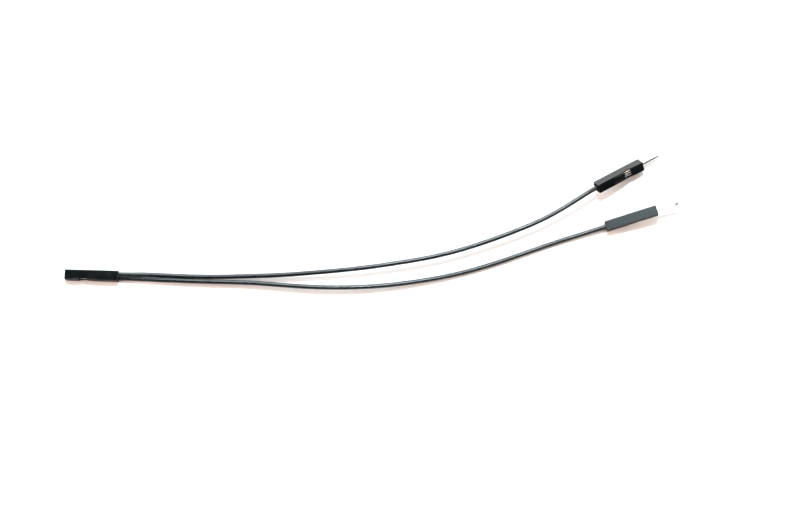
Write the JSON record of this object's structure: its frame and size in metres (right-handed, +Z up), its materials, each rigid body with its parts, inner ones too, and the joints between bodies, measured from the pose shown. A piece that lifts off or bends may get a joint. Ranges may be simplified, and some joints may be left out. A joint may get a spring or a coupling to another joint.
{
  "type": "breadboard jumper wire",
  "caption": "Y-shaped jumper lead: flexible wires run from a square crimp socket to square pins, linking a header pin to breadboard holes or sockets.",
  "frame": {"origin": "on the table, under the centre of the box round the housings, terminals and pins", "axes": "+Z up from the table, +X along the lead from the socket to the pins, +Y away from the side that the socket's window faces"},
  "size_m": [0.1606, 0.0368, 0.0053],
  "materials": {
    "housing_plastic": "moulded black plastic, satin",
    "terminal_metal": "tin-plated strip, stamped and folded",
    "wire_jacket": "soft extruded insulation, slight gloss",
    "core_copper": "bare twisted copper strands"
  },
  "bodies": {
    "root": {"socket_housing": "housing_plastic", "upper_pin_housing": "housing_plastic", "lower_pin_housing": "housing_plastic", "socket_terminal": "terminal_metal", "upper_pin_terminal": "terminal_metal", "lower_pin_terminal": "terminal_metal", "upper_wire": "wire_jacket", "lower_wire": "wire_jacket", "upper_wire_core_at_socket": "core_copper", "lower_wire_core_at_socket": "core_copper", "upper_wire_core_at_pin": "core_copper", "lower_wire_core_at_pin": "core_copper"}
  },
  "joints": []
}
